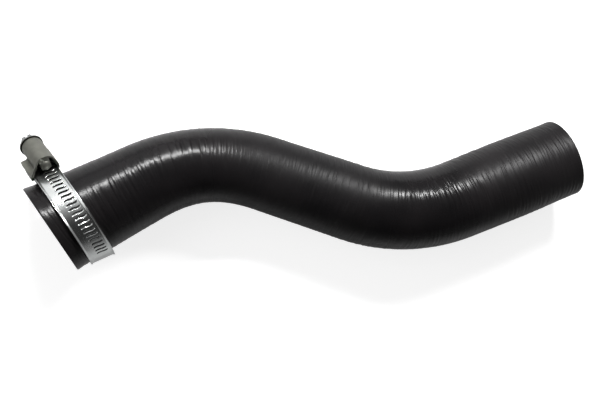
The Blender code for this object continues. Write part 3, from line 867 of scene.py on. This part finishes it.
def bandMaterial():
    # cold-rolled steel strip, zinc plated: bright, with faint rolling lines along it
    material, tree, shader = newMaterial("zincPlatedStripSteel")
    strip = addNode(tree, "UVMap", {"uv_map": "strip"}).outputs["UV"]
    # the lines are drawn coarser than real ones, so that they show
    along, across = (perMetre(size) for size in band["rollingSize"])
    lines = addNode(tree, "Mapping", values={"Scale": (along, across, 1.0)},
                    links={"Vector": strip})
    rolled = addNode(tree, "TexNoise", values={"Scale": 1.0, "Detail": 2.0},
                     links={"Vector": lines.outputs["Vector"]}).outputs["Fac"]
    place = addNode(tree, "TexCoord").outputs["Object"]
    cloud = addNode(tree, "TexNoise", values={"Scale": perMetre(band["cloudSize"]), "Detail": 3.0},
                    links={"Vector": place})
    bright = addNode(tree, "ValToRGB", links={"Fac": cloud.outputs["Fac"]},
                     stops=twoTone(band["colours"]))
    # painted shade: the walls of the pressed thread are darkened towards this colour, as dark
    # outlines
    paintedShade = addNode(tree, "Attribute", {"attribute_name": "paintedShade"}).outputs["Fac"]
    tint = addNode(tree, "Mix", {"data_type": "RGBA"}, {7: fromHex(band["paintedShadeColour"])},
                   {"Factor": paintedShade, 6: bright.outputs["Color"]})
    smooth, matt = band["roughness"]
    rough = addNode(tree, "MapRange", values={"To Min": smooth, "To Max": matt},
                    links={"Value": rolled})
    bump = addNode(tree, "Bump", values={"Strength": 0.2, "Distance": band["rollingDepth"] * mm},
                   links={"Height": rolled})
    plug(shader, {"Metallic": 1.0},
         {"Base Color": tint.outputs[2], "Roughness": rough.outputs["Result"],
          "Normal": bump.outputs["Normal"]})
    return material


def housingMaterial():
    # pressed sheet steel, dull olive-grey passivated zinc
    material, tree, shader = newMaterial("passivatedSheetSteel")
    place = addNode(tree, "TexCoord").outputs["Object"]
    cloud = addNode(tree, "TexNoise", links={"Vector": place}, values={
        "Scale": perMetre(housing["cloudSize"]), "Detail": 4.0}).outputs["Fac"]
    tint = addNode(tree, "ValToRGB", links={"Fac": cloud}, stops=twoTone(housing["colours"]))
    grit = addNode(tree, "TexNoise", links={"Vector": place}, values={
        "Scale": perMetre(housing["gritSize"]), "Detail": 2.0})
    smooth, matt = housing["roughness"]
    rough = addNode(tree, "MapRange", values={"To Min": smooth, "To Max": matt},
                    links={"Value": cloud})
    bump = addNode(tree, "Bump", values={"Strength": 0.3, "Distance": housing["gritDepth"] * mm},
                   links={"Height": grit.outputs["Fac"]})
    plug(shader, {"Metallic": 0.85},
         {"Base Color": tint.outputs["Color"], "Roughness": rough.outputs["Result"],
          "Normal": bump.outputs["Normal"]})
    return material


def screwMaterial():
    # cold-headed steel screw, zinc plated: light grey, satin
    material, tree, shader = newMaterial("zincPlatedScrewSteel")
    place = addNode(tree, "TexCoord").outputs["Object"]
    cloud = addNode(tree, "TexNoise", links={"Vector": place}, values={
        "Scale": perMetre(screw["cloudSize"]), "Detail": 3.0}).outputs["Fac"]
    bright = addNode(tree, "ValToRGB", links={"Fac": cloud}, stops=twoTone(screw["colours"]))
    # painted shade under the collar: the screw is darkened up to just over the barrel's end, so the
    # collar's underside and lower rim read as shaded
    axle = addNode(tree, "UVMap", {"uv_map": "axle"}).outputs["UV"]
    height = addNode(tree, "SeparateXYZ", links={"Vector": axle}).outputs["X"]
    clearOfPaintedShade = addNode(tree, "MapRange", links={"Value": height}, values={
        "From Min": screw["paintedShadeFrom"] * mm, "From Max": screw["paintedShadeTo"] * mm})
    tint = addNode(tree, "Mix", {"data_type": "RGBA"}, {6: fromHex(screw["paintedShadeColour"])},
                   {"Factor": clearOfPaintedShade.outputs["Result"], 7: bright.outputs["Color"]})
    smooth, matt = screw["roughness"]
    rough = addNode(tree, "MapRange", values={"To Min": smooth, "To Max": matt},
                    links={"Value": cloud})
    bump = addNode(tree, "Bump", values={"Strength": 0.2, "Distance": screw["cloudDepth"] * mm},
                   links={"Height": cloud})
    plug(shader, {"Metallic": 1.0},
         {"Base Color": tint.outputs[2], "Roughness": rough.outputs["Result"],
          "Normal": bump.outputs["Normal"]})
    return material


studio = {
    "worldColour": "f4f3f3",
    "worldStrength": 0.27,
    "shadeStrength": 0.03,
    "shadeDirection": (0.0, -0.56, 0.83),    # the dark side of the room, behind the camera
    "shadeFrom": 0.6,
    "shadeTo": 0.84,
    "floorReach": 6000.0,
    "floorColour": "bababa",
    "floorGlow": 0.8,
    "floorInMetal": 0.15,
    "cameraPitch": 10.0,
    "cameraDistance": 428.8,
    "cameraTarget": (-7.361, -4.361, 21.0),
    "cameraReach": (10.0, 50000.0),
    "lens": 50.0,
    "sensor": 36.0,
}

# two long narrow softboxes over the far side make the highlights, the other two fill: mm and watts
softboxes = {
    "leftSoftbox": {
        "place": (-92, 215, 220), "aim": (-92, 0, 35), "size": (110, 32), "power": 1.0},
    "rightSoftbox": {
        "place": (138, 188, 220), "aim": (60, 0, 35), "size": (64, 32), "power": 0.75},
    "broadSoftbox": {
        "place": (-560, 970, 430), "aim": (0, 0, 20), "size": (1100, 760), "power": 2.5},
    "endSoftbox": {
        "place": (-800, 80, 620), "aim": (0, 0, 20), "size": (700, 700), "power": 2.2},
}


def makeFloor():
    bm = bmesh.new()
    bmesh.ops.create_grid(bm, x_segments=1, y_segments=1, size=studio["floorReach"] * mm)
    floor = linkedObject("floor", bm)
    # a pale floor that the camera sees as white, and metal as light grey
    material, tree, shader = newMaterial("paleStudioFloor")
    rays = addNode(tree, "LightPath")
    seen = addNode(tree, "Math", {"operation": "MULTIPLY"}, {1: studio["floorGlow"]},
                   {0: rays.outputs["Is Camera Ray"]})
    glow = addNode(tree, "Math", {"operation": "MULTIPLY_ADD"}, {1: studio["floorInMetal"]},
                   {0: rays.outputs["Is Glossy Ray"], 2: seen.outputs["Value"]})
    plug(shader, {"Base Color": fromHex(studio["floorColour"]), "Roughness": 0.9,
                  "Emission Color": grey(1.0)}, {"Emission Strength": glow.outputs["Value"]})
    floor.data.materials.append(material)


def makeWorld():
    world = bpy.data.worlds.new("studio")
    bpy.context.scene.world = world
    world.use_nodes = True
    tree = world.node_tree
    # even all round, but dark on the side where the camera stands, and white to the camera
    ray = addNode(tree, "TexCoord").outputs["Generated"]
    facing = addNode(tree, "VectorMath", {"operation": "DOT_PRODUCT"},
                     {1: Vector(studio["shadeDirection"]).normalized()}, {0: ray})
    fade = addNode(tree, "MapRange", {"interpolation_type": "SMOOTHSTEP"}, {
        "From Min": studio["shadeFrom"], "From Max": studio["shadeTo"],
        "To Min": studio["worldStrength"], "To Max": studio["shadeStrength"]},
        {"Value": facing.outputs["Value"]})
    light = plug(tree.nodes["Background"], {"Color": fromHex(studio["worldColour"])},
                 {"Strength": fade.outputs["Result"]})
    shown = addNode(tree, "Background", values={"Color": grey(1.0), "Strength": 1.0})
    rays = addNode(tree, "LightPath")
    mix = addNode(tree, "MixShader", links={
        "Fac": rays.outputs["Is Camera Ray"], 1: light.outputs["Background"],
        2: shown.outputs["Background"]})
    plug(tree.nodes["World Output"], links={"Surface": mix.outputs["Shader"]})


def makeSoftbox(name, place, aim, size, power):
    light = bpy.data.lights.new(name, "AREA")
    light.shape = "RECTANGLE"
    light.size, light.size_y = (side * mm for side in size)
    light.energy = power
    lamp = bpy.data.objects.new(name, light)
    bpy.context.scene.collection.objects.link(lamp)
    lamp.location = Vector(place) * mm
    lamp.rotation_mode = "QUATERNION"
    lamp.rotation_quaternion = (Vector(aim) - Vector(place)).to_track_quat("-Z", "Y")
    lamp.visible_camera = False


def makeCamera():
    pitch = math.radians(studio["cameraPitch"])
    forward = Vector((math.sin(pitch), 0.0, -math.cos(pitch)))
    right = Vector((math.cos(pitch), 0.0, math.sin(pitch)))
    place = Vector(studio["cameraTarget"]) * mm - forward * studio["cameraDistance"] * mm
    data = bpy.data.cameras.new("camera")
    data.lens = studio["lens"]
    data.sensor_width = studio["sensor"]
    data.clip_start, data.clip_end = (reach * mm for reach in studio["cameraReach"])
    camera = bpy.data.objects.new("camera", data)
    bpy.context.scene.collection.objects.link(camera)
    camera.matrix_world = basis(place, right, Vector((0.0, 1.0, 0.0)), -forward)
    bpy.context.scene.camera = camera


makeHose().data.materials.append(rubberMaterial())
makeBand().data.materials.append(bandMaterial())
makeHousing().data.materials.append(housingMaterial())
makeScrew().data.materials.append(screwMaterial())
makeFloor()
makeWorld()
for name, values in softboxes.items():
    makeSoftbox(name, **values)
makeCamera()
bpy.context.scene.view_settings.view_transform = "Standard"
print("studio set")
